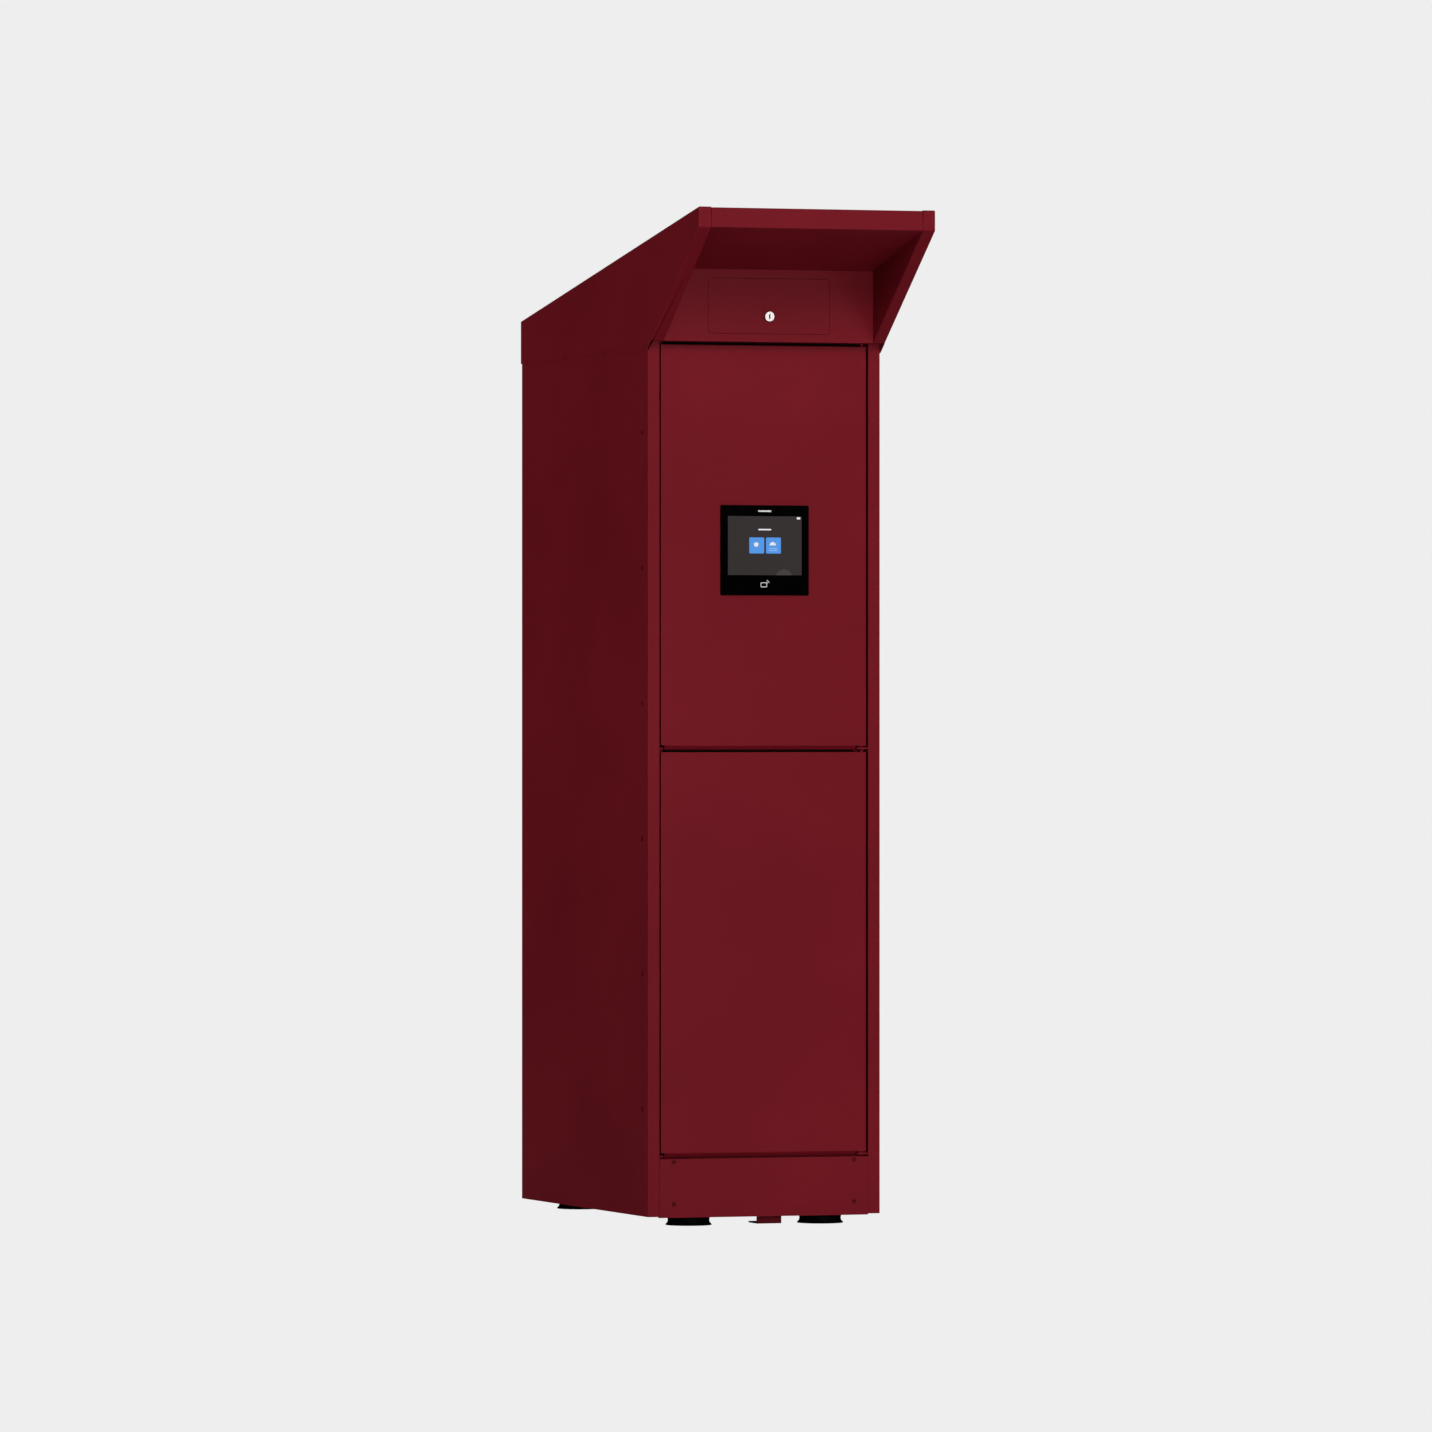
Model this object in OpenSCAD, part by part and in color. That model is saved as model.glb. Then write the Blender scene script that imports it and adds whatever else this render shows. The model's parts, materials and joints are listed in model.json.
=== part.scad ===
// Free-standing parcel locker: a tall folded-steel cabinet with two doors, a touch terminal in
// the upper door, and a sloped rain hood that holds the electronics behind a locked hatch.
// Millimetres, +Z up. The origin is on the floor, under the middle of the whole outline.
// Every module works in the cabinet frame: x is 0 on the centre line, y is 0 on the face of the
// doors and grows towards the back, and z is 0 on the floor.

/* [Cabinet] */
// Width of the cabinet over its side panels
body_w = 450; // [440:1:480]
// Depth of the cabinet from the door faces to the rear flanges
body_d = 750; // [600:1:900]
// Height of the cabinet shell from its bottom edge to the underside of the hood
body_h = 1600; // [1600:1:1650]
// Gap between the floor and the bottom edge of the cabinet
foot_gap = 18; // [16:1:30]
// Thickness of the folded steel sheets
sheet = 1.5; // [1.2:0.1:2]
// Width of the front stile on each side panel
stile_w = 22.5; // [20:0.5:24]

/* [Doors] */
// Height of each door face
door_h = 733; // [700:1:733]
// Depth of a door from its face to its liner
door_d = 20; // [18:1:20]
// Gap beside a door on the latch side
latch_gap = 2.6; // [1:0.1:3]
// Gap beside a door on the hinge side
hinge_gap = 4.2; // [4:0.1:5]
// Gap between the upper door and the underside of the hood
door_top_gap = 5.5; // [4:0.5:8]
// Height of the slanted drip edge under each door face
drip_h = 8; // [4:0.5:9]
// Largest opening angle of the doors, used for the joint range
door_swing = 110; // [90:1:115]

/* [Hood] */
// Reach of the hood in front of the door faces
overhang = 292; // [200:1:320]
// Height of the hood's front top edge above the floor
hood_front_top = 1850; // [1830:1:1900]
// Height of the hood's rear top edge above the floor
hood_rear_top = 1682; // [1675:1:1700]
// Height of the fascia on the hood's front
fascia_h = 37; // [30:1:60]
// Width of the hood's boxed side walls
cheek_w = 22; // [20:0.5:24]
// Distance of the hood's front panel in front of the door faces
panel_reach = 26; // [20:1:40]
// Height of the hood's front panel
panel_h = 133; // [130:1:140]

/* [Hatch] */
// Width of the hatch opening in the hood's front panel
hatch_w = 236; // [180:1:280]
// Height of the hatch opening
hatch_h = 102; // [90:1:104]
// Diameter of the cam lock's head
lock_head_d = 19; // [18:0.5:24]

/* [Terminal] */
// Width of the terminal's front glass
glass_w = 171; // [150:1:200]
// Height of the terminal's front glass
glass_h = 165; // [150:1:190]
// Height of the terminal's centre above the floor
terminal_z = 1237; // [1150:1:1300]

/* [Base] */
// Diameter of the lip of a foot
foot_d = 85; // [70:1:90]
// Distance of a foot's centre from the cabinet's centre line
foot_x = 128; // [110:1:140]
// Distance of a foot's centre from the front and the back of the cabinet
foot_inset = 55; // [50:1:70]

/* [Hidden] */
$fn = 48;

// Colours
red = "#6f1a26";
dark_red = "#4d1019";
zinc = "#b4b8bb";
steel = "#8d9093";
black = "#141416";
rubber_black = "#1d1d1f";

// Outline of the whole object
hood_skin_x = body_w / 2 + sheet;
overall_d = overhang + body_d + sheet;
front_y = overhang - overall_d / 2;

// Cabinet levels and planes
half_w = body_w / 2;
inner_w = half_w - sheet;
frame_w = inner_w - sheet;
z_base = foot_gap;
shell_top = z_base + body_h;
web_top = shell_top + 12;
stile_in = half_w - stile_w;
stop_y = 25;
stop_in = stile_in - stile_w;
rear_flange = 20;
back_y = body_d - 2 * sheet;
rail_y = stop_y + sheet;
rail_d = 30;
shelf_flange = 25;

// Doors: z is the bottom of the face and t is the top
door_left = -stile_in + latch_gap;
door_right = stile_in - hinge_gap;
upper_t = shell_top - door_top_gap;
upper_z = upper_t - door_h;
mid_gap = 12.5;
lower_t = upper_z - mid_gap;
lower_z = lower_t - door_h;
ear_drop = 1.5;
ear_w = [6.7, 18];
drip_clear = 1.2;
gasket_w = 8;
gasket_out = 189;
lip_out = 197;
lip_t = 2;

// Rails: the lowest and highest z of each
plinth_t = lower_z - drip_h - 2.5;
bottom_rail_z = [plinth_t - 12, lower_z + 13];
mid_rail_z = [lower_t - 12, upper_z + 11.5];
top_rail_z = [upper_t - 14.5, shell_top + 10];

// Pivots of the doors
pivot_x = door_right - 6.2;
pivot_y = 7;
pin_r = 2.5;
shoulder_r = 3;
bush_clear = 0.05;
bush_r = 4.5;
plate_t = 3;
plate_x = 181.5;
plate_front = 1.5;
lower_plate_z = lower_z - ear_drop - 2.5 - plate_t;
mid_plate_z = upper_z - ear_drop - 2.5 - plate_t;
top_plate_z = shell_top + sheet;

// Latches: one on the latch side of each door
latch_z = [(lower_z + lower_t) / 2, (upper_z + upper_t) / 2];
latch_case_x = [-frame_w, -200.5];
latch_case_y = [rail_y + 1.5, 98];
latch_case_h = 60;
pawl_pivot = [-208, 64];
pawl_t = 5;
pawl_release = 26;
latch_pin_r = 2.5;
latch_pin_len = 40;
strike_x = [-197.5, -195.5];
strike_slot = [-201.6, -191.6];
strike_y = [22, 51];

// Fasteners on the sides: equal pitch up each side panel
rivet_y = 32;
rivet_z0 = z_base + 196.5;
rivet_pitch = 247.3;
rivet_n = 6;
rivet_r = 2.4;
hood_screw_z = shell_top - 12;
hood_screw_ys = [for (i = [0:3]) 22 + 229 * i];
back_screw_x = 215;
back_screw_zs = [for (i = [0:5]) z_base + 80 + 290 * i];

// Hood outline, seen from the side as [y, z]
seam_z = shell_top - 17;
nose_low = [-overhang, hood_front_top - fascia_h];
nose_high = [-overhang, hood_front_top];
tail_high = [body_d + sheet, hood_rear_top];
tail_low = [body_d + sheet, seam_z];
heel = [0, seam_z];
roof_slope = (hood_front_top - hood_rear_top) / overall_d;
roof_drop = sheet * sqrt(1 + roof_slope * roof_slope);
lean_slope = (nose_low[1] - seam_z) / overhang;
lean_rise = sheet * sqrt(1 + lean_slope * lean_slope);
lean_at_shell = (shell_top - seam_z) / lean_slope;
cheek_x = half_w - cheek_w;
panel_y = -panel_reach;
panel_t = shell_top + panel_h;
soffit_slope = (nose_low[1] - panel_t) / (overhang - panel_reach);

// Hatch
hatch_z = [shell_top + 14.5, shell_top + 14.5 + hatch_h];
hatch_gap = 0.6;
hatch_r = 6;
hatch_pivot = [panel_y + 6.5, hatch_z[1] - hatch_gap - 21];
hatch_pin_r = 2;
lug_x = hatch_w / 2 - 5;
lock_z = hatch_z[0] + 32;
barrel_r = 8;
plug_r = 5.5;
barrel_end = panel_y + 14;
cam_t = 2;

// Terminal
cutout = [158, 150];
housing_d = 48;
housing_wall = 2;
display_size = [150, 116];
display_z = terminal_z + 9.5;
board_y = 20;

// Base
anchor_x = [3, 51];
anchor_y = [50, 98];
anchor_t = 3;
anchor_hole_r = 5.5;
anchor_hole_gap = 26;
anchor_hole_y = 78;
cleat_h = 40;
pan_t = 2;
pan_flange = 32;
stud_r = 6;
plinth_screw_x = 175;
plinth_screw_zs = [z_base + 23, z_base + 100];
grommet_pos = [150, 80];
grommet_r = 11;
wall_hole = [150, 300, 1400];
wall_hole_r = 4.5;

// A box between two opposite corners
module block(low, high) {
    translate(low) cube(high - low);
}

// Cabinet frame: x from the centre line, y from the door faces, z from the floor
module in_cabinet() {
    translate([0, front_y, 0]) children();
}

// The same shape on both sides of the centre line
module both_sides() {
    children();
    mirror([1, 0, 0]) children();
}

// A profile drawn as [y, z], stretched along x from x0 to x1
module along_x(x0, x1) {
    translate([x0, 0, 0]) rotate([90, 0, 90]) linear_extrude(x1 - x0) children();
}

// A cylinder along x, and one along y
module rod_x(x0, x1, y, z, r) {
    translate([x0, y, z]) rotate([0, 90, 0]) cylinder(r = r, h = x1 - x0);
}

module rod_y(x, y0, y1, z, r) {
    translate([x, y0, z]) rotate([-90, 0, 0]) cylinder(r = r, h = y1 - y0);
}

module rod_z(x, y, z0, z1, r) {
    translate([x, y, z0]) cylinder(r = r, h = z1 - z0);
}

// A rectangle of size s around its centre, with round corners, as [x, z]
module round_rect(s, r) {
    square([s[0] - 2 * r, s[1]], center = true);
    square([s[0], s[1] - 2 * r], center = true);
    for (x = [-1, 1], z = [-1, 1])
        translate([x * (s[0] / 2 - r), z * (s[1] / 2 - r)]) circle(r = r);
}

// A flat shape drawn as [x, z], from y0 to y1
module along_y(y0, y1) {
    translate([0, y1, 0]) rotate([90, 0, 0]) linear_extrude(y1 - y0) children();
}

// ---- Cabinet shell ----

module rivet_holes() {
    for (i = [0:rivet_n - 1])
        rod_x(-half_w - 1, -frame_w + 1, rivet_y, rivet_z0 + i * rivet_pitch, rivet_r);
}

// Left side panel: web, front stile with its return lip, and rear flange
module side_panel() {
    difference() {
        union() {
            block([-half_w, 0, z_base], [-inner_w, body_d, web_top]);
            block([-half_w, 0, z_base], [-stile_in, sheet, shell_top]);
            block([-stile_in - sheet, 0, z_base], [-stile_in, stop_y, shell_top]);
            block([-half_w, body_d - sheet, z_base], [-half_w + rear_flange, body_d, web_top]);
        }
        rivet_holes();
        for (y = hood_screw_ys) rod_x(-half_w - 1, -inner_w + 1, y, hood_screw_z, 2);
        for (z = back_screw_zs)
            rod_y(-back_screw_x, body_d - 2 * sheet, body_d + 1, z, 2);
    }
}

module side_panel_left() {
    color(red) in_cabinet() side_panel();
}

module side_panel_right() {
    color(red) in_cabinet() mirror([1, 0, 0]) side_panel();
}

// Left jamb: the angle behind the stile that the door closes against
module jamb() {
    difference() {
        union() {
            block([-inner_w, stop_y, plinth_t], [-stop_in, rail_y, web_top]);
            block([-inner_w, stop_y, plinth_t], [-frame_w, stop_y + 22, web_top]);
        }
        rivet_holes();
    }
}

// The left jamb has a slot for each strike and a small tab below each door's latch corner
module jamb_left() {
    color(red) in_cabinet() difference() {
        union() {
            jamb();
            for (z = [lower_plate_z, mid_plate_z])
                block([-stile_in, plate_front, z], [door_left + 5.7, stop_y, z + plate_t]);
        }
        for (z = latch_z)
            block([strike_slot[0], stop_y - 1, z - 16], [strike_slot[1], rail_y + 1, z + 16]);
    }
}

module jamb_right() {
    color(red) in_cabinet() mirror([1, 0, 0]) jamb();
}

module back_panel() {
    color(red) in_cabinet() difference() {
        block([-inner_w, back_y, z_base], [inner_w, body_d - sheet, top_rail_z[1]]);
        for (x = [-1, 1], z = back_screw_zs)
            rod_y(x * back_screw_x, back_y - 1, body_d, z, 2);
        for (x = [-wall_hole[0], wall_hole[0]], z = [wall_hole[1], wall_hole[2]])
            rod_y(x, back_y - 1, body_d, z, wall_hole_r);
        rod_y(grommet_pos[0], back_y - 1, body_d, grommet_pos[1], grommet_r + 3);
    }
}

// Base pan: the bottom sheet with turned-up edges, two tall tabs behind the plinth's upper
// screws, and the cleat that the anchor bracket is bolted to
module base_pan() {
    color(red) in_cabinet() difference() {
        union() {
            block([-stile_in, sheet, z_base], [stile_in, stop_y, z_base + pan_t]);
            block([-inner_w, stop_y, z_base], [inner_w, back_y, z_base + pan_t]);
            block([-stile_in, sheet, z_base], [stile_in, 2 * sheet, z_base + pan_flange]);
            both_sides() {
                block([plinth_screw_x - 12, sheet, z_base],
                      [plinth_screw_x + 12, 2 * sheet, plinth_t - sheet]);
                block([frame_w, stop_y, z_base], [inner_w, back_y, z_base + pan_flange]);
            }
            block([-inner_w, back_y - sheet, z_base], [inner_w, back_y, z_base + pan_flange]);
            block([anchor_x[0] - 3, anchor_y[0] + anchor_t, z_base],
                  [anchor_x[1] + 3, anchor_y[0] + 2 * anchor_t, z_base + pan_t + cleat_h]);
        }
        block([anchor_x[0] - 0.5, anchor_y[0] - 0.5, z_base - 1],
              [anchor_x[1] + 0.5, anchor_y[0] + anchor_t, z_base + pan_t + 1]);
        for (x = anchor_screw_xs())
            rod_y(x, anchor_y[0], anchor_y[0] + 3 * anchor_t, anchor_screw_z(), 3);
        for (p = foot_places()) rod_z(p[0], p[1], z_base - 1, z_base + pan_t + 1, stud_r + 0.1);
        for (x = [-1, 1], z = plinth_screw_zs)
            rod_y(x * plinth_screw_x, 0, 3 * sheet, z, 2.5);
    }
}

// A shelf: a sheet resting on a rail, with both sides and the rear turned down, and an opening
// beside the latch for the cables that run up the cabinet
module shelf(z) {
    difference() {
        block([-frame_w, rail_y, z], [frame_w, back_y, z + sheet]);
        block([-216, 106, z - 1], [-200, 140, z + sheet + 1]);
    }
    both_sides()
        block([frame_w - sheet, rail_y + rail_d, z - shelf_flange], [frame_w, back_y, z]);
    block([-frame_w, back_y - sheet, z - shelf_flange], [frame_w, back_y, z]);
}

module lower_floor() {
    color(red) in_cabinet() shelf(bottom_rail_z[1]);
}

module middle_shelf() {
    color(red) in_cabinet() shelf(mid_rail_z[1]);
}

module top_deck() {
    color(red) in_cabinet() shelf(top_rail_z[1]);
}

// A rail: a box section between the jambs, with a strip that carries on the jambs' stop face
module rail(zs) {
    difference() {
        block([-frame_w, rail_y, zs[0]], [frame_w, rail_y + rail_d, zs[1]]);
        block([-frame_w - 1, rail_y + sheet, zs[0] + sheet],
              [frame_w + 1, rail_y + rail_d - sheet, zs[1] - sheet]);
    }
    block([-stop_in, stop_y, zs[0]], [stop_in, rail_y, zs[1]]);
}

module bottom_rail() {
    color(red) in_cabinet() rail(bottom_rail_z);
}

// The middle rail is open along its front, behind the gap between the doors
module mid_rail() {
    color(red) in_cabinet() difference() {
        rail(mid_rail_z);
        block([-stop_in + 8, stop_y - 1, lower_t - 1],
              [stop_in - 8, rail_y + sheet + 0.5, upper_z - 1]);
    }
}

module top_rail() {
    color(red) in_cabinet() rail(top_rail_z);
}

// Plinth: the screwed cover below the lower door, between the stiles
module plinth_panel() {
    w = stile_in - 0.1;
    color(red) in_cabinet() difference() {
        union() {
            block([-w, 0, z_base - 2], [w, sheet, plinth_t]);
            block([-w, 0, plinth_t - sheet], [w, stop_y - 5, plinth_t]);
            block([-w, 0, z_base - 2], [w, 10, z_base - 2 + sheet]);
        }
        for (x = [-1, 1], z = plinth_screw_zs)
            rod_y(x * plinth_screw_x, -1, 2 * sheet, z, 2.5);
    }
}

// ---- Fasteners ----

module plinth_screws() {
    color(dark_red) in_cabinet() difference() {
        for (x = [-1, 1], z = plinth_screw_zs) {
            rod_y(x * plinth_screw_x, -1.8, 0, z, 3.8);
            rod_y(x * plinth_screw_x, 0, 8, z, 2.5);
        }
        for (x = [-1, 1], z = plinth_screw_zs)
            translate([x * plinth_screw_x, -0.6, z]) rotate([90, 0, 0])
                cylinder(r = 1.9, h = 2, $fn = 6);
    }
}

module side_rivets() {
    color(dark_red) in_cabinet() both_sides()
        for (i = [0:rivet_n - 1]) {
            z = rivet_z0 + i * rivet_pitch;
            rod_x(-half_w - 1.3, -half_w, rivet_y, z, 4.5);
            rod_x(-half_w, -frame_w, rivet_y, z, rivet_r);
            rod_x(-frame_w, -frame_w + 1.2, rivet_y, z, 3.8);
        }
}

// The hood's seam screws have flat heads, flush with the hood's side
module hood_screws() {
    color(dark_red) in_cabinet() both_sides()
        for (y = hood_screw_ys) {
            rod_x(-hood_skin_x, -half_w, y, hood_screw_z, 3.5);
            rod_x(-half_w, -frame_w, y, hood_screw_z, 2);
        }
}

module back_screws() {
    color(dark_red) in_cabinet() both_sides()
        for (z = back_screw_zs) {
            rod_y(back_screw_x, body_d, body_d + 1.3, z, 4);
            rod_y(back_screw_x, back_y - 4, body_d, z, 2);
        }
}

// ---- Hood ----

// Height of the hood's outer top line at y, and of the soffit's lower face
function top_at(y) = hood_front_top - (y + overhang) * roof_slope;
function soffit_at(y) = panel_t + (panel_y - y) * soffit_slope;

// Upper face of the leaning flange: its height at y, and its y at height z
function lean_up(y) = seam_z + lean_rise - y * lean_slope;
function lean_y(z) = (seam_z + lean_rise - z) / lean_slope;

// Side of the hood: the skin, and the turned-in flanges along its nose, its leaning front edge,
// its top and the short bottom in front of the cabinet
module hood_side() {
    lean_end = [-lean_at_shell, shell_top];
    front = -overhang + sheet;
    low = shell_top + sheet;
    difference() {
        along_x(-hood_skin_x, -half_w)
            polygon([nose_low, nose_high, tail_high, tail_low, heel, lean_end]);
        for (y = hood_screw_ys) rod_x(-hood_skin_x - 1, -half_w + 1, y, hood_screw_z, 3.5);
    }
    along_x(-half_w, -cheek_x) polygon([
        lean_end,
        nose_low,
        nose_high,
        tail_high,
        tail_high - [0, roof_drop],
        [front, top_at(front) - roof_drop],
        [front, lean_up(front)],
        [lean_y(low), low],
        [0, low],
        [0, shell_top]
    ]);
}

module hood_side_left() {
    color(red) in_cabinet() hood_side();
}

module hood_side_right() {
    color(red) in_cabinet() mirror([1, 0, 0]) hood_side();
}

// Inner walls of the hood, from the leaning flanges back to the front panel
module hood_cheeks() {
    front = -overhang + sheet;
    back = panel_y + 14;
    low = shell_top + sheet;
    color(red) in_cabinet() both_sides() along_x(-cheek_x - sheet, -cheek_x)
        polygon([
            [lean_y(low), low],
            [front, lean_up(front)],
            [front, top_at(front) - 2 * roof_drop],
            [back, top_at(back) - 2 * roof_drop],
            [back, low]
        ]);
}

// Roof: the sloped sheet under the side flanges, and its rear apron with ventilation slots
module roof_panel() {
    y0 = -overhang + sheet;
    color(red) in_cabinet() difference() {
        union() {
            along_x(-half_w, half_w) polygon([
                [y0, top_at(y0) - roof_drop],
                [y0, top_at(y0) - 2 * roof_drop],
                [body_d + sheet, hood_rear_top - 2 * roof_drop],
                [body_d + sheet, hood_rear_top - roof_drop]
            ]);
            block([-half_w, body_d, seam_z],
                  [half_w, body_d + sheet, hood_rear_top - 2 * roof_drop]);
        }
        for (x = [-150:30:150])
            along_y(body_d - 1, body_d + 3) translate([x, 1650]) round_rect([5, 30], 2.4);
    }
}

// Fascia: the nose of the hood, between the side flanges
module fascia() {
    w = cheek_x - 1;
    t = top_at(-overhang) - roof_drop;
    color(red) in_cabinet() {
        block([-w, -overhang, nose_low[1]], [w, -overhang + sheet, t]);
    }
}

// Soffit: the ceiling of the canopy, with a flange up behind the fascia
module soffit() {
    y0 = -overhang + sheet;
    y1 = panel_y + 14;
    color(red) in_cabinet() along_x(-cheek_x, cheek_x) {
        polygon([
            [y0, soffit_at(y0)],
            [y1, soffit_at(y1)],
            [y1, soffit_at(y1) + sheet],
            [y0, soffit_at(y0) + sheet]
        ]);
        translate([y0, soffit_at(y0)]) square([sheet, 22]);
    }
}

// Front panel of the hood: the face with the hatch opening, a floor flange that runs back to
// the jambs, a keeper lip below the opening, and the ears of the hatch hinges
module hood_front_panel() {
    mid_z = (hatch_z[0] + hatch_z[1]) / 2;
    back = panel_y + sheet;
    color(red) in_cabinet() difference() {
        union() {
            difference() {
                block([-cheek_x, panel_y, shell_top], [cheek_x, back, soffit_at(back)]);
                along_y(panel_y - 1, back + 1)
                    translate([0, mid_z]) round_rect([hatch_w, hatch_h], hatch_r);
            }
            block([-cheek_x, panel_y, shell_top], [cheek_x, stop_y, shell_top + sheet]);
            block([-hatch_w / 2 + 20, back, hatch_z[0] - sheet],
                  [hatch_w / 2 - 20, panel_y + 12.5, hatch_z[0]]);
            both_sides() block([hatch_w / 2 + 1.5, back, hatch_pivot[1] - 8],
                               [hatch_w / 2 + 5.5, panel_y + 12, hatch_pivot[1] + 8]);
        }
        rod_x(-half_w, half_w, hatch_pivot[0], hatch_pivot[1], hatch_pin_r);
        rod_z(pivot_x, pivot_y, shell_top - 1, shell_top + sheet + 1, pin_r + 1);
    }
}

module hatch_hinge_pins() {
    color(zinc) in_cabinet() both_sides()
        rod_x(lug_x - 4, hatch_w / 2 + 6.5, hatch_pivot[0], hatch_pivot[1], hatch_pin_r);
}

// ---- Door pivots and latches ----

// Plates welded between the right stile and jamb, which hold the pivot pins
module pivot_plates() {
    color(red) in_cabinet()
        for (z = [lower_plate_z, mid_plate_z, top_plate_z])
            difference() {
                block([plate_x, plate_front, z], [stile_in, stop_y, z + plate_t]);
                rod_z(pivot_x, pivot_y, z - 1, z + plate_t + 1, shoulder_r);
            }
}

// A pin: its shoulder sits in a plate, from z0 to z1, and its thin part runs from low to high
module pivot_pin(z0, z1, low, high) {
    rod_z(pivot_x, pivot_y, z0, z1, shoulder_r);
    rod_z(pivot_x, pivot_y, low, high, pin_r);
}

// The shoulders of the lower two pins carry the doors. The middle pin also guides the top of
// the lower door.
module pivot_pins() {
    top = top_plate_z + plate_t + 3;
    color(red) in_cabinet() {
        pivot_pin(lower_plate_z, lower_z - ear_drop - 0.05, lower_plate_z, lower_z + 6);
        pivot_pin(mid_plate_z, upper_z - ear_drop - 0.05, lower_t - 8, upper_z + 6);
        pivot_pin(top_plate_z, top, upper_t - 8, top);
    }
}

// Electric latches on the left side: a case with a level slot that the pawl turns in
module latch_case(z) {
    h = latch_case_h / 2;
    slot = pawl_t / 2 + 1;
    difference() {
        block([latch_case_x[0], latch_case_y[0], z - h], [latch_case_x[1], latch_case_y[1], z + h]);
        block([latch_case_x[0] + 1, latch_case_y[0] - 1, z - slot],
              [latch_case_x[1] + 1, 74, z + slot]);
        rod_z(pawl_pivot[0], pawl_pivot[1], z - latch_pin_len / 2, z + latch_pin_len / 2,
              latch_pin_r);
    }
}

module latch_cases() {
    color(black) in_cabinet() for (z = latch_z) latch_case(z);
}

module latch_pins() {
    color(zinc) in_cabinet()
        for (z = latch_z)
            rod_z(pawl_pivot[0], pawl_pivot[1], z - latch_pin_len / 2, z + latch_pin_len / 2,
                  latch_pin_r);
}

// A pawl, drawn as it holds the strike and turned back to its released place
module latch_pawl(z) {
    translate([pawl_pivot[0], pawl_pivot[1], z - pawl_t / 2]) rotate([0, 0, -pawl_release])
        difference() {
            union() {
                cylinder(r = 6.5, h = pawl_t);
                linear_extrude(pawl_t)
                    polygon([[-5, 3], [5, 3], [6, -16], [10, -22], [18, -22], [18, -28],
                             [0, -28], [-5, -17]]);
            }
            translate([0, 0, -1]) cylinder(r = latch_pin_r + bush_clear, h = pawl_t + 2);
        }
}

module upper_latch_pawl() {
    color(zinc) in_cabinet() latch_pawl(latch_z[1]);
}

module lower_latch_pawl() {
    color(zinc) in_cabinet() latch_pawl(latch_z[0]);
}

// ---- Base ----

function anchor_screw_xs() = [anchor_x[0] + 12, anchor_x[1] - 12];
function anchor_screw_z() = z_base + pan_t + 24;
function foot_places() = [
    for (x = [-foot_x, foot_x], y = [foot_inset, body_d - foot_inset]) [x, y]
];

// Floor anchor: an angle that stands on the floor and passes up through the base pan
module anchor_bracket() {
    mid_x = (anchor_x[0] + anchor_x[1]) / 2;
    color(red) in_cabinet() difference() {
        union() {
            block([anchor_x[0], anchor_y[0], 0], [anchor_x[1], anchor_y[1], anchor_t]);
            block([anchor_x[0], anchor_y[0], 0],
                  [anchor_x[1], anchor_y[0] + anchor_t, z_base + pan_t + cleat_h]);
        }
        for (x = [-1, 1])
            rod_z(mid_x + x * anchor_hole_gap / 2, anchor_hole_y, -1, anchor_t + 1, anchor_hole_r);
        for (x = anchor_screw_xs())
            rod_y(x, anchor_y[0] - 1, anchor_y[0] + anchor_t + 1, anchor_screw_z(), 3.1);
    }
}

module anchor_screws() {
    color(zinc) in_cabinet()
        for (x = anchor_screw_xs()) {
            rod_y(x, anchor_y[0], anchor_y[0] + 5 * anchor_t, anchor_screw_z(), 3);
            translate([x, anchor_y[0], anchor_screw_z()]) rotate([90, 0, 0])
                cylinder(r = 5.8, h = 4, $fn = 6);
        }
}

// Feet: moulded pads with a flared lip, a threaded stud and a lock nut inside the pan
module foot_pads() {
    lip = foot_d / 2;
    color(rubber_black) in_cabinet()
        for (p = foot_places()) translate([p[0], p[1], 0]) rotate_extrude($fn = 64)
            difference() {
                polygon([[0, 0], [lip, 0], [lip, 1.6], [lip - 3.5, 5.5], [lip - 4.3, 9],
                         [lip - 3.5, z_base - 4], [lip - 3.5, z_base], [0, z_base]]);
                translate([0, z_base - 10]) square([stud_r + 0.1, 11]);
            }
}

module foot_studs() {
    color(zinc) in_cabinet()
        for (p = foot_places()) rod_z(p[0], p[1], z_base - 10, z_base + 38, stud_r);
}

module foot_nuts() {
    low = z_base + pan_t;
    color(zinc) in_cabinet()
        for (p = foot_places()) translate([p[0], p[1], low]) difference() {
            cylinder(r = 10.9, h = 10, $fn = 6);
            translate([0, 0, -1]) cylinder(r = stud_r, h = 12);
        }
}

// ---- Inside the hood ----

module controller_box() {
    low = top_rail_z[1] + sheet;
    color("#2b2d30") in_cabinet() difference() {
        block([-110, 110, low], [90, 230, low + 55]);
        for (i = [0:7]) block([-80 + i * 20, 109, low + 20], [-70 + i * 20, 112, low + 40]);
    }
}

module power_supply() {
    low = top_rail_z[1] + sheet;
    color(steel) in_cabinet() difference() {
        block([-90, 300, low], [70, 400, low + 42]);
        for (i = [0:9]) block([-78 + i * 14, 310, low + 40], [-72 + i * 14, 390, low + 43]);
    }
}

// Rubber ring in the cable hole of the back panel
module cable_grommet() {
    y0 = back_y - 3;
    y1 = body_d - sheet + 3;
    color(rubber_black) in_cabinet() difference() {
        union() {
            rod_y(grommet_pos[0], y0, back_y, grommet_pos[1], grommet_r + 6);
            rod_y(grommet_pos[0], y0, y1, grommet_pos[1], grommet_r + 3);
            rod_y(grommet_pos[0], body_d - sheet, y1, grommet_pos[1], grommet_r + 6);
        }
        rod_y(grommet_pos[0], y0 - 1, y1 + 1, grommet_pos[1], grommet_r);
    }
}

// ---- Doors ----

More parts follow.
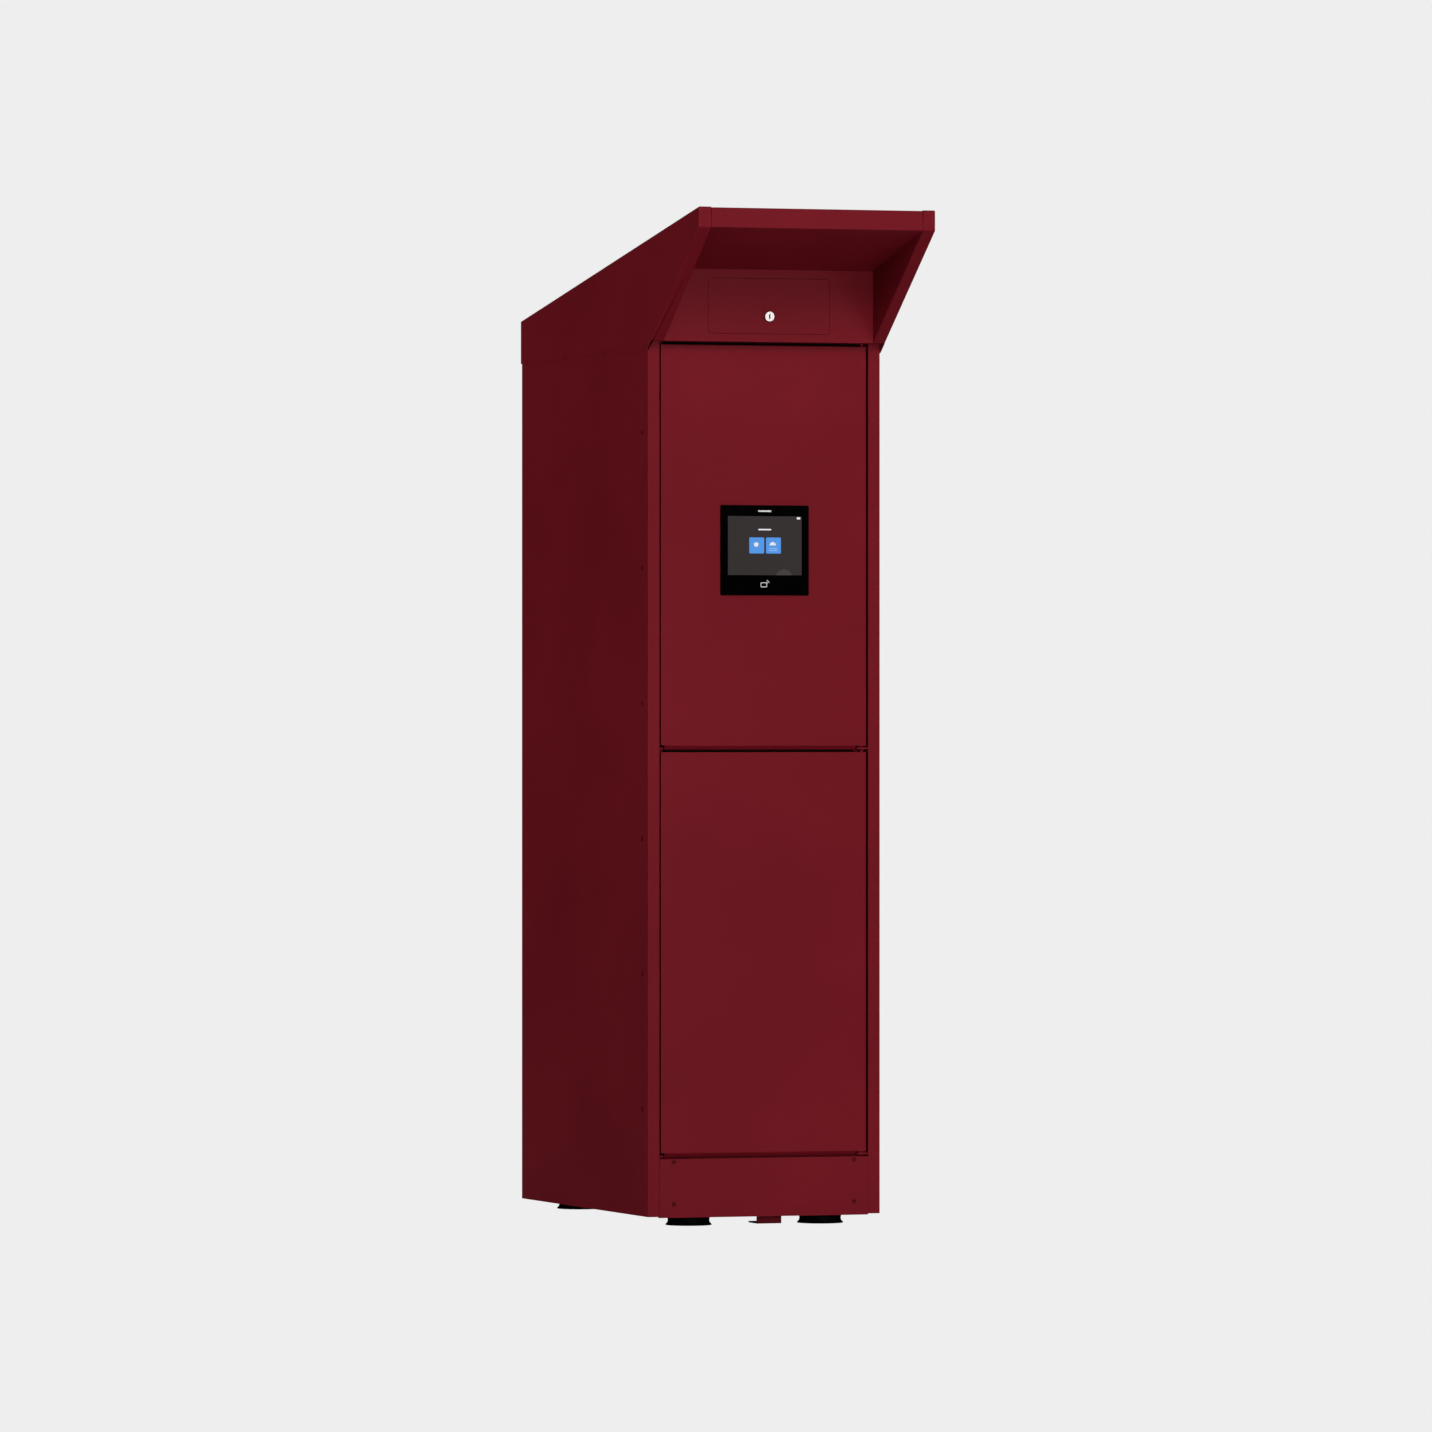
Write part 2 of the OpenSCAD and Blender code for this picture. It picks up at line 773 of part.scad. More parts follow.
// Profile of the slanted drip edge and the return behind it, as [y, z]
module drip_profile(z) {
    k = sheet * (sqrt(2) - 1);
    polygon([
        [0, z], [drip_h, z - drip_h], [door_d, z - drip_h], [door_d, z - drip_h + sheet],
        [drip_h + k, z - drip_h + sheet], [sheet, z + k], [sheet, z + sheet], [0, z + sheet]
    ]);
}

// Door skin: a folded pan whose bottom edge slants in, from a notch at its latch corner to an
// ear at its hinge corner
module door_skin(z, t) {
    low = z - ear_drop;
    left_ear = door_left + ear_w[0];
    right_ear = door_right - ear_w[1];
    difference() {
        union() {
            block([door_left, 0, z], [door_right, sheet, t]);
            block([door_left, 0, z], [door_left + sheet, door_d, t]);
            block([door_right - sheet, 0, low], [door_right, door_d, t]);
            block([door_left, 0, t - sheet], [door_right, door_d, t]);
            block([right_ear, 0, low], [door_right, sheet, z + 1]);
            block([door_left, 0, z], [left_ear, door_d - sheet, z + sheet]);
            block([right_ear, 0, low], [door_right, door_d, low + sheet]);
            along_x(left_ear + drip_clear, right_ear - drip_clear) drip_profile(z);
        }
        rod_z(pivot_x, pivot_y, low - 1, low + 2 * sheet, bush_r);
        rod_z(pivot_x, pivot_y, t - 2 * sheet, t + 1, bush_r);
    }
}

// Door liner: the flat inner sheet between the returns of the skin
module door_liner(z, t) {
    block([door_left + sheet, door_d - sheet, z - ear_drop + sheet],
          [door_right - sheet, door_d, t - sheet]);
}

// Foam seal on the liner, which meets the jambs and rails, with a thin lip along its bottom
module door_gasket(z, t) {
    y1 = stop_y - 0.1;
    difference() {
        block([-gasket_out, door_d, z + 1.5], [gasket_out, y1, t - 4.5]);
        block([-gasket_out + gasket_w, door_d - 1, z + 1.5 + gasket_w],
              [gasket_out - gasket_w, y1 + 1, t - 4.5 - gasket_w]);
    }
    block([-lip_out, door_d, z - ear_drop - 2.2], [lip_out, door_d + lip_t, z + 3]);
}

// Nylon bushes: the lower one stands on its pin's shoulder and carries the door
module door_bushes(z, t) {
    low = z - ear_drop;
    difference() {
        union() {
            rod_z(pivot_x, pivot_y, low, z + 8, bush_r);
            rod_z(pivot_x, pivot_y, t - 10, t + 0.6, bush_r);
        }
        rod_z(pivot_x, pivot_y, low - 1, z + 9, pin_r + bush_clear);
        rod_z(pivot_x, pivot_y, t - 11, t + 1, pin_r + bush_clear);
    }
}

// Strike: a plate on the liner, and the windowed tongue that the pawl holds
module door_strike(z) {
    block([door_left + sheet + 0.2, door_d, z - 15], [-gasket_out - 1, strike_y[0], z + 15]);
    difference() {
        block([strike_x[0], strike_y[0], z - 11], [strike_x[1], strike_y[1], z + 11]);
        block([strike_x[0] - 1, 28, z - 5], [strike_x[1] + 1, 46, z + 5]);
    }
}

module upper_door_skin() {
    color(red) in_cabinet() difference() {
        door_skin(upper_z, upper_t);
        along_y(-1, sheet + 1) translate([0, terminal_z]) square(cutout, center = true);
    }
}

module upper_door_liner() {
    color(red) in_cabinet() difference() {
        door_liner(upper_z, upper_t);
        along_y(0, door_d + 1) translate([0, terminal_z]) square(cutout, center = true);
    }
}

// The upper door's seal also has lips that close the gaps above and below that door
module upper_door_gasket() {
    back = door_d + lip_t;
    color(rubber_black) in_cabinet() {
        door_gasket(upper_z, upper_t);
        block([-gasket_out, door_d, upper_t - 6], [gasket_out, back, shell_top - 0.5]);
        block([-gasket_out, door_d, lower_t + 0.3], [plate_x - 2.5, back, upper_z + 3]);
    }
}

module upper_door_bushes() {
    color(black) in_cabinet() door_bushes(upper_z, upper_t);
}

module upper_door_strike() {
    color(zinc) in_cabinet() door_strike(latch_z[1]);
}

module lower_door_skin() {
    color(red) in_cabinet() door_skin(lower_z, lower_t);
}

module lower_door_liner() {
    color(red) in_cabinet() door_liner(lower_z, lower_t);
}

module lower_door_gasket() {
    color(rubber_black) in_cabinet() door_gasket(lower_z, lower_t);
}

module lower_door_bushes() {
    color(black) in_cabinet() door_bushes(lower_z, lower_t);
}

module lower_door_strike() {
    color(zinc) in_cabinet() door_strike(latch_z[0]);
}

// ---- Terminal in the upper door ----

module terminal_glass() {
    color(black) in_cabinet() along_y(-3, 0)
        translate([0, terminal_z]) round_rect([glass_w, glass_h], 2);
}

// Housing: a box through the door, open behind the glass, with a flange that lies on the
// liner, a slotted back, and four posts that carry the terminal's board
module terminal_housing() {
    outer = cutout - [1, 1];
    inner = outer - 2 * [housing_wall, housing_wall];
    color(rubber_black) in_cabinet() {
        difference() {
            union() {
                along_y(0, housing_d) translate([0, terminal_z]) square(outer, center = true);
                along_y(door_d, door_d + 2.5)
                    translate([0, terminal_z]) square(outer + [20, 20], center = true);
            }
            along_y(-1, housing_d - housing_wall)
                translate([0, terminal_z]) square(inner, center = true);
            for (i = [-4:4]) along_y(housing_d - 3, housing_d + 1)
                translate([i * 12, terminal_z + 30]) round_rect([5, 40], 2.4);
        }
        for (x = [-66, 66], z = [-62, 62])
            rod_y(x, board_y, housing_d - 1, terminal_z + z, 4);
    }
}

module display_module() {
    color("#2e3034") in_cabinet() along_y(0, 8)
        translate([0, display_z]) square(display_size, center = true);
}

module terminal_board() {
    color("#1e4a2c") in_cabinet() along_y(board_y - 2, board_y)
        translate([0, terminal_z]) square([146, 138], center = true);
}

// Contactless reader, behind the glass below the display
module card_reader() {
    color("#1e4a2c") in_cabinet()
        block([-30, 0, terminal_z - 71], [30, 5, terminal_z - 50.5]);
}

// ---- Hatch ----

// Hatch: the flush flap, its stiffening flanges and its two hinge lugs
module hatch_panel() {
    mid_z = (hatch_z[0] + hatch_z[1]) / 2;
    size = [hatch_w - 2 * hatch_gap, hatch_h - 2 * hatch_gap];
    back = panel_y + sheet;
    flange = panel_y + 10;
    low = hatch_z[0] + 5;
    side = hatch_w / 2 - 12;
    color(red) in_cabinet() difference() {
        union() {
            along_y(panel_y, back) translate([0, mid_z]) round_rect(size, hatch_r - hatch_gap);
            both_sides() {
                block([side - sheet, back, low], [side, flange, hatch_pivot[1] - 12]);
                block([lug_x - 3, back, hatch_pivot[1] - 7],
                      [lug_x, panel_y + 11, hatch_pivot[1] + 7]);
            }
            block([-side, back, low], [side, flange, low + sheet]);
        }
        rod_x(-half_w, half_w, hatch_pivot[0], hatch_pivot[1], hatch_pin_r + bush_clear);
        rod_y(0, panel_y - 1, back + 1, lock_z, barrel_r + 0.1);
    }
}

// Cam lock: the barrel with its bevelled head, through the hatch
module lock_barrel() {
    head = lock_head_d / 2;
    color(zinc) in_cabinet() translate([0, panel_y, lock_z]) rotate([90, 0, 0])
        rotate_extrude() polygon([
            [plug_r + bush_clear, -14], [barrel_r, -14], [barrel_r, 0], [head, 0],
            [head, 4.4], [head - 0.8, 5.2], [plug_r + bush_clear, 5.2]
        ]);
}

module lock_nut() {
    color(zinc) in_cabinet() translate([0, panel_y + sheet, lock_z]) rotate([-90, 0, 0])
        difference() {
            cylinder(r = 12.7, h = 5, $fn = 6);
            translate([0, 0, -1]) cylinder(r = barrel_r, h = 7);
        }
}

// Plug: it turns in the barrel, with an upright key slot in its face
module lock_plug() {
    color(zinc) in_cabinet() difference() {
        rod_y(0, panel_y - 4.6, barrel_end + cam_t, lock_z, plug_r);
        block([-1.1, panel_y - 6, lock_z - 3.9], [1.1, panel_y + 5, lock_z + 3.9]);
        rod_y(0, barrel_end - 6, barrel_end + cam_t + 1, lock_z, 2);
    }
}

// Cam: it lies level while the hatch is free, and turns down behind the keeper lip to lock it
module lock_cam() {
    color(zinc) in_cabinet() difference() {
        along_y(barrel_end + 0.2, barrel_end + cam_t) translate([0, lock_z]) {
            circle(r = 8);
            translate([0, -7]) square([31, 14]);
            translate([31, 0]) circle(r = 7);
        }
        rod_y(0, barrel_end - 1, barrel_end + cam_t + 1, lock_z, plug_r);
    }
}

module cam_screw() {
    color(zinc) in_cabinet() {
        rod_y(0, barrel_end + cam_t, barrel_end + cam_t + 2.5, lock_z, 6.5);
        rod_y(0, barrel_end - 6, barrel_end + cam_t, lock_z, 2);
    }
}

side_panel_left();
side_panel_right();
jamb_left();
jamb_right();
back_panel();
base_pan();
lower_floor();
middle_shelf();
top_deck();
bottom_rail();
mid_rail();
top_rail();
plinth_panel();
plinth_screws();
side_rivets();
hood_screws();
back_screws();
hood_side_left();
hood_side_right();
hood_cheeks();
roof_panel();
fascia();
soffit();
hood_front_panel();
hatch_hinge_pins();
pivot_plates();
pivot_pins();
latch_cases();
latch_pins();
anchor_bracket();
anchor_screws();
foot_pads();
foot_studs();
foot_nuts();
controller_box();
power_supply();
cable_grommet();
upper_door_skin();
upper_door_liner();
upper_door_gasket();
upper_door_bushes();
upper_door_strike();
terminal_glass();
display_module();
terminal_housing();
terminal_board();
card_reader();
lower_door_skin();
lower_door_liner();
lower_door_gasket();
lower_door_bushes();
lower_door_strike();
hatch_panel();
lock_barrel();
lock_nut();
lock_plug();
lock_cam();
cam_screw();
upper_latch_pawl();
lower_latch_pawl();
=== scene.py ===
import json
import math

import bmesh
import bpy
import numpy as np
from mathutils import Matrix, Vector


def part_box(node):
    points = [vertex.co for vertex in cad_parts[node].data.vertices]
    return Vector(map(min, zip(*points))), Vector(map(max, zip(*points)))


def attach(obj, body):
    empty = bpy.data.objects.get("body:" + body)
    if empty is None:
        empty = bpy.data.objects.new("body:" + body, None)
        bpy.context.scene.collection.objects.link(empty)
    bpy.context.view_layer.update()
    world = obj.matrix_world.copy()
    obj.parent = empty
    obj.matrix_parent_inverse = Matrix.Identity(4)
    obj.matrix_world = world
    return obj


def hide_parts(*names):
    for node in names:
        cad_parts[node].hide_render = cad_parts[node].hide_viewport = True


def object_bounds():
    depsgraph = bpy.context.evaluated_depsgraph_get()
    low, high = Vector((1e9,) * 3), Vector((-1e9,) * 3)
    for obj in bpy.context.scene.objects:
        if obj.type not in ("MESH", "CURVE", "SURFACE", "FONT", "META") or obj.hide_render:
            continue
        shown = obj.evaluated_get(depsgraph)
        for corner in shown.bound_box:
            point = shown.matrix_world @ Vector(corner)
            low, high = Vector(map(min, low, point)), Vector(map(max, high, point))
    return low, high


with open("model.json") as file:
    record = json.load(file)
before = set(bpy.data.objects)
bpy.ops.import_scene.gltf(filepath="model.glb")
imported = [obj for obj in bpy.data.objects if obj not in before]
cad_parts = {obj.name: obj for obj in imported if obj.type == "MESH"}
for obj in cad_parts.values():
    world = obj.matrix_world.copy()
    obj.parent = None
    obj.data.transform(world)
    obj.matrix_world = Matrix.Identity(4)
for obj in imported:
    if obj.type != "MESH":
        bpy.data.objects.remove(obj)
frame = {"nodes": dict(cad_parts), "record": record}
cad_low, cad_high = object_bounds()
MM = 0.001

# Socket numbers of a Mix node that blends colours
MIX_FIRST, MIX_SECOND, MIX_RESULT = 6, 7, 2
# Specular level of the matt surfaces, whose own gloss is faint
FAINT_GLOSS = 0.06
# Two faces are one flat area, or have one direction, when their normals' product is above these
ONE_AREA = 0.99995
ONE_DIRECTION = 0.9995


# ---- Materials ----

def new_material(name):
    """A material with its shader, and a helper that adds nodes fed by object coordinates."""
    mat = bpy.data.materials.new(name)
    mat.use_nodes = True
    tree = mat.node_tree
    tree.nodes.clear()
    out = tree.nodes.new("ShaderNodeOutputMaterial")
    shader = tree.nodes.new("ShaderNodeBsdfPrincipled")
    tree.links.new(shader.outputs[0], out.inputs[0])
    coords = tree.nodes.new("ShaderNodeTexCoord")
    return mat, tree, shader, coords.outputs["Object"]


def noise(tree, coords, scale, detail=2.0, stretch=None, rough=0.5):
    """Noise of about 1/scale metres; stretch multiplies the scale on each axis."""
    if stretch:
        mapping = tree.nodes.new("ShaderNodeMapping")
        mapping.inputs["Scale"].default_value = stretch
        tree.links.new(coords, mapping.inputs["Vector"])
        coords = mapping.outputs["Vector"]
    node = tree.nodes.new("ShaderNodeTexNoise")
    node.inputs["Scale"].default_value = scale
    node.inputs["Detail"].default_value = detail
    node.inputs["Roughness"].default_value = rough
    tree.links.new(coords, node.inputs["Vector"])
    return node.outputs["Fac"]


def spread(tree, value, low, high, start=0.3, end=0.7):
    """Maps a 0 to 1 value onto low to high."""
    node = tree.nodes.new("ShaderNodeMapRange")
    node.inputs["From Min"].default_value = start
    node.inputs["From Max"].default_value = end
    node.inputs["To Min"].default_value = low
    node.inputs["To Max"].default_value = high
    tree.links.new(value, node.inputs["Value"])
    return node.outputs["Result"]


def scaled(colour, factor, lift=0.0):
    """A colour made darker or brighter, and lifted a little towards grey."""
    return tuple(min(1, c * factor + lift) for c in colour)


def flat_on_front(tree, coords):
    """Coordinates turned so that a flat pattern lies on surfaces that face the front."""
    turn = tree.nodes.new("ShaderNodeMapping")
    turn.inputs["Rotation"].default_value = (math.radians(90), 0, 0)
    tree.links.new(coords, turn.inputs["Vector"])
    return turn.outputs["Vector"]


def bricks(tree, coords, width, height, gap):
    """A grid of cells on the front, in metres: 0 in a cell and 1 in the gaps."""
    grid = tree.nodes.new("ShaderNodeTexBrick")
    grid.inputs["Scale"].default_value = 1.0
    grid.inputs["Brick Width"].default_value = width
    grid.inputs["Row Height"].default_value = height
    grid.inputs["Mortar Size"].default_value = gap
    tree.links.new(flat_on_front(tree, coords), grid.inputs["Vector"])
    return grid


def blend_colours(tree, factor, first, second):
    """A colour between first and second; each is a tuple or an output socket."""
    node = tree.nodes.new("ShaderNodeMix")
    node.data_type = "RGBA"
    tree.links.new(factor, node.inputs["Factor"])
    for socket, colour in ((MIX_FIRST, first), (MIX_SECOND, second)):
        if isinstance(colour, tuple):
            node.inputs[socket].default_value = (*colour, 1)
        else:
            tree.links.new(colour, node.inputs[socket])
    return node.outputs[MIX_RESULT]


def bump(tree, height, strength, distance, below=None):
    """Bump of a depth in metres, on top of an earlier bump if there is one."""
    node = tree.nodes.new("ShaderNodeBump")
    node.inputs["Strength"].default_value = strength
    node.inputs["Distance"].default_value = distance
    tree.links.new(height, node.inputs["Height"])
    if below:
        tree.links.new(below, node.inputs["Normal"])
    return node.outputs["Normal"]


def bends(tree):
    """1 on rounded outside edges, -1 in rounded inside corners, and 0 on flat areas."""
    node = tree.nodes.new("ShaderNodeAttribute")
    node.attribute_name = "bend"
    return node.outputs["Fac"]


def product(tree, first, second):
    """Two values multiplied."""
    node = tree.nodes.new("ShaderNodeMath")
    node.operation = "MULTIPLY"
    tree.links.new(first, node.inputs[0])
    tree.links.new(second, node.inputs[1])
    return node.outputs[0]


def coated(name, colour, roughness=0.44):
    """Powder coat: slow colour drift, fine orange peel and grain, with the film thinner and
    paler on bends, and painted shade that darkens inside corners."""
    mat, tree, shader, coords = new_material(name)
    drift = spread(tree, noise(tree, coords, 2.2, 3), 0, 1)
    grain = noise(tree, coords, 1400, 2)
    base = blend_colours(tree, drift, scaled(colour, 0.93), scaled(colour, 1.10, 0.0015))
    bend = bends(tree)
    patches = spread(tree, noise(tree, coords, 55, 3), 0.1, 0.7)
    worn = product(tree, spread(tree, bend, 0, 1, 0, 1), patches)
    base = blend_colours(tree, worn, base, scaled(colour, 1.45, 0.004))
    # Painted shade: the coat darker in inside corners, in patches
    corner_shade = product(tree, spread(tree, bend, 0.6, 0, -1, 0), patches)
    base = blend_colours(tree, corner_shade, base, scaled(colour, 0.6, 0.004))
    tree.links.new(base, shader.inputs["Base Color"])
    uneven = spread(tree, grain, roughness - 0.05, roughness + 0.05)
    tree.links.new(uneven, shader.inputs["Roughness"])
    peel = bump(tree, noise(tree, coords, 330, 2), 0.10, 0.0004)
    tree.links.new(bump(tree, grain, 0.16, 0.00012, peel), shader.inputs["Normal"])
    shader.inputs["Specular IOR Level"].default_value = FAINT_GLOSS
    return mat


def metal(name, colour, roughness, stretch=(1, 1, 12), scale=260, strength=0.12):
    """Metal with fine brushing along one axis, and slightly uneven gloss."""
    mat, tree, shader, coords = new_material(name)
    brush = noise(tree, coords, scale, 3, stretch)
    cloud = noise(tree, coords, 28, 2)
    base = blend_colours(tree, spread(tree, cloud, 0, 1), scaled(colour, 0.82), colour)
    tree.links.new(base, shader.inputs["Base Color"])
    uneven = spread(tree, brush, roughness - 0.07, roughness + 0.08)
    tree.links.new(uneven, shader.inputs["Roughness"])
    tree.links.new(bump(tree, brush, strength, 0.0001), shader.inputs["Normal"])
    shader.inputs["Metallic"].default_value = 1.0
    return mat


def moulded(name, colour, roughness, scale, strength, depth=0.0002):
    """Moulded plastic or rubber with a fine spark-eroded grain."""
    mat, tree, shader, coords = new_material(name)
    grain = noise(tree, coords, scale, 3)
    patch = noise(tree, coords, 18, 2)
    scuff = spread(tree, bends(tree), 0, 0.5, 0, 1)
    base = blend_colours(tree, spread(tree, patch, 0, 0.5), colour, scaled(colour, 1.5, 0.001))
    base = blend_colours(tree, scuff, base, scaled(colour, 2, 0.004))
    tree.links.new(base, shader.inputs["Base Color"])
    uneven = spread(tree, grain, roughness - 0.06, roughness + 0.06)
    tree.links.new(uneven, shader.inputs["Roughness"])
    tree.links.new(bump(tree, grain, strength, depth), shader.inputs["Normal"])
    shader.inputs["Specular IOR Level"].default_value = FAINT_GLOSS
    return mat


def screen(name, colour, lift=1.12):
    """A lit part of the display: a fine pixel grid under smooth glass."""
    mat, tree, shader, coords = new_material(name)
    pixel = 0.18 * MM
    grid = bricks(tree, coords, pixel, pixel, pixel / 15)
    grid.offset = 0.0
    tint = spread(tree, noise(tree, coords, 9, 1), 0, 1)
    lit = blend_colours(tree, tint, colour, scaled(colour, lift))
    dotted = blend_colours(tree, grid.outputs["Fac"], lit, scaled(colour, 0.7))
    tree.links.new(dotted, shader.inputs["Emission Color"])
    shader.inputs["Emission Strength"].default_value = 1.0
    shader.inputs["Base Color"].default_value = (0.004, 0.004, 0.004, 1)
    shader.inputs["Roughness"].default_value = 0.3
    shader.inputs["Specular IOR Level"].default_value = FAINT_GLOSS
    return mat


def black_glass():
    """Black glass: almost no colour, sharp reflections, faint wiping marks."""
    mat, tree, shader, coords = new_material("black_glass")
    smear = noise(tree, coords, 30, 4, (1, 1, 0.35))
    dust = noise(tree, coords, 900, 1)
    specks = spread(tree, dust, 0, 0.6, 0.6, 0.9)
    base = blend_colours(tree, specks, (0.0005, 0.0005, 0.0005), (0.003, 0.003, 0.003))
    tree.links.new(base, shader.inputs["Base Color"])
    tree.links.new(spread(tree, smear, 0.07, 0.16), shader.inputs["Roughness"])
    shader.inputs["Specular IOR Level"].default_value = 0.07
    return mat


def board():
    """Circuit board: solder mask over square-cornered copper traces."""
    mat, tree, shader, coords = new_material("circuit_board")
    traces = bricks(tree, coords, 0.011, 0.0034, 0.0003).outputs["Fac"]
    base = blend_colours(tree, traces, (0.006, 0.05, 0.02), (0.03, 0.13, 0.05))
    tree.links.new(base, shader.inputs["Base Color"])
    tree.links.new(bump(tree, traces, 0.3, 0.00005), shader.inputs["Normal"])
    shader.inputs["Roughness"].default_value = 0.35
    return mat


WINE = (0.188, 0.0070, 0.0150)
MATERIALS = {
    "powder_coat": coated("powder_coat", WINE),
    # Fastener heads: the coat at half brightness, a darker coat that also stands in as painted
    # shade around the heads
    "coated_fastener": coated("coated_fastener", scaled(WINE, 0.5), 0.5),
    "zinc_steel": metal("zinc_steel", (0.58, 0.59, 0.60), 0.36),
    "lock_chrome": metal("lock_chrome", (0.84, 0.80, 0.79), 0.24, (6, 6, 6), 420, 0.06),
    "black_rubber": moulded("black_rubber", (0.0008, 0.0006, 0.0006), 0.62, 900, 0.25),
    "black_plastic": moulded("black_plastic", (0.012, 0.012, 0.013), 0.48, 1500, 0.18, 1e-4),
    "black_glass": black_glass(),
    "display": screen("display", (0.033, 0.026, 0.026)),
    "dark_case": moulded("dark_case", (0.022, 0.024, 0.028), 0.5, 1200, 0.15, 1e-4),
    "plain_steel": metal("plain_steel", (0.52, 0.52, 0.53), 0.42, (14, 1, 1)),
    "circuit_board": board(),
}
SCREEN_BLUE = screen("screen_blue", (0.090, 0.31, 0.79))
SCREEN_WHITE = screen("screen_white", (0.84, 0.86, 0.90), 1.0)
SCREEN_PALE = screen("screen_pale", (0.30, 0.52, 0.95))
SCREEN_GREY = screen("screen_grey", (0.060, 0.049, 0.049))
PRINT_WHITE = moulded("print_white", (0.62, 0.62, 0.62), 0.5, 800, 0.05, 0.00005)

SLOTS = {row["node"]: row["material_slot"] for row in frame["record"]["subparts"]}
BODY_OF = {node: body
           for body, nodes in frame["record"]["behaviour"]["bodies"].items() for node in nodes}


# ---- Pieces made from the CAD's own shapes ----

def flat_regions(bm):
    """Numbers the flat areas, so an area that is cut into several faces counts as one."""
    region = {}
    for face in bm.faces:
        if face in region:
            continue
        number = len(region)
        todo = [face]
        region[face] = number
        while todo:
            here = todo.pop()
            for edge in here.edges:
                for other in edge.link_faces:
                    if other not in region and here.normal.dot(other.normal) > ONE_AREA:
                        region[other] = number
                        todo.append(other)
    return region


def width_across(edge, face, region, borders):
    """Distance from the edge's middle straight across its flat area to that area's border."""
    middle = (edge.verts[0].co + edge.verts[1].co) / 2
    along = (edge.verts[1].co - edge.verts[0].co).normalized()
    inward = face.normal.cross(along)
    if (face.calc_center_median() - middle).dot(inward) < 0:
        inward.negate()
    nearest = 1e9
    for other in borders[region[face]]:
        if other is edge:
            continue
        a, b = (v.co - middle for v in other.verts)
        ax, ay, bx, by = a.dot(along), a.dot(inward), b.dot(along), b.dot(inward)
        if (ax > 0) == (bx > 0) or abs(ax - bx) < 1e-9:
            continue
        y = ay + (by - ay) * ax / (ax - bx)
        if 1e-6 < y < nearest:
            nearest = y
    return nearest


def steady_normals(mesh, smooth, before):
    """Normals that stay true on flat areas, and turn only across bends and round faces. Faces
    whose directions aren't among those from before the rounding are marked as bends. smooth is
    the largest angle, in degrees, that is shaded as one round surface."""
    bm = bmesh.new()
    bm.from_mesh(mesh)
    bm.normal_update()
    now = np.array([face.normal[:] for face in bm.faces])
    rolled = (now @ np.array(before).T).max(axis=1) < ONE_DIRECTION
    marks = []
    for face, bent in zip(bm.faces, rolled):
        mark = 0.0
        if bent:
            middle = face.calc_center_median()
            turn = sum((other.normal - face.normal).dot(other.calc_center_median() - middle)
                       for edge in face.edges for other in edge.link_faces if other is not face)
            mark = 1.0 if turn > 0 else -1.0
        marks.append(mark)
    region = flat_regions(bm)
    area = {}
    for face, number in region.items():
        area[number] = area.get(number, 0) + face.calc_area() * 1e6
    limit = math.cos(math.radians(smooth))
    normals = []
    for face in bm.faces:
        for loop in face.loops:
            total = Vector()
            for other in loop.vert.link_faces:
                if face.normal.dot(other.normal) > limit:
                    total += other.normal * area[region[other]] ** 2
            normals.append(total.normalized() if total.length > 1e-9 else face.normal.copy())
    bm.free()
    mesh.normals_split_custom_set(normals)
    mesh.attributes.new("bend", "FLOAT", "FACE").data.foreach_set("value", marks)


def rounded(node, fold, inside=0.45, cut=0.25, wide=2.6, segments=3, smooth=35):
    """A copy of a CAD node with its outside bends rounded by fold, its inside ones by inside,
    and the edges of faces narrower than wide broken by cut. Sizes are in mm."""
    flat, sharp, shortest = math.radians(0.6), math.radians(28), 1.3 * MM
    source = frame["nodes"][node]
    mesh = source.data.copy()
    mesh.materials.clear()
    piece = bpy.data.objects.new(node + "_finished", mesh)
    bpy.context.scene.collection.objects.link(piece)
    bm = bmesh.new()
    bm.from_mesh(mesh)
    bmesh.ops.remove_doubles(bm, verts=bm.verts, dist=1e-6)
    bmesh.ops.dissolve_limit(bm, angle_limit=flat, verts=bm.verts, edges=bm.edges)
    weight = bm.edges.layers.float.new("bevel_weight_edge")
    bm.normal_update()
    region = flat_regions(bm)
    borders = {}
    for edge in bm.edges:
        faces = edge.link_faces
        if len(faces) == 2 and region[faces[0]] == region[faces[1]]:
            continue
        for face in faces:
            borders.setdefault(region[face], []).append(edge)
    for edge in bm.edges:
        if len(edge.link_faces) != 2 or edge.calc_length() < shortest:
            continue
        angle = edge.calc_face_angle_signed(0)
        if abs(angle) < sharp:
            continue
        narrow = min(width_across(edge, f, region, borders) for f in edge.link_faces)
        if narrow < wide * MM:
            size = min(cut, narrow / MM * 0.3)
        else:
            size = fold if angle > 0 else inside
        edge[weight] = size / fold
    before = [face.normal[:] for face in bm.faces]
    bm.to_mesh(mesh)
    bm.free()
    bevel = piece.modifiers.new("bevel", "BEVEL")
    bevel.limit_method = "WEIGHT"
    bevel.width = fold * MM
    bevel.segments = segments
    bevel.use_clamp_overlap = False
    bevel.miter_outer = "MITER_ARC"
    evaluated = piece.evaluated_get(bpy.context.evaluated_depsgraph_get())
    done = bpy.data.meshes.new_from_object(evaluated)
    piece.modifiers.clear()
    piece.data = done
    done.name = piece.name
    for polygon in done.polygons:
        polygon.use_smooth = True
    low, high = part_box(node)
    for vertex in done.vertices:
        vertex.co = [min(max(at, least), most) for at, least, most in zip(vertex.co, low, high)]
    steady_normals(done, smooth, before)
    done.materials.append(MATERIALS[SLOTS[node]])
    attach(piece, BODY_OF[node])
    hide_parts(node)
    return piece


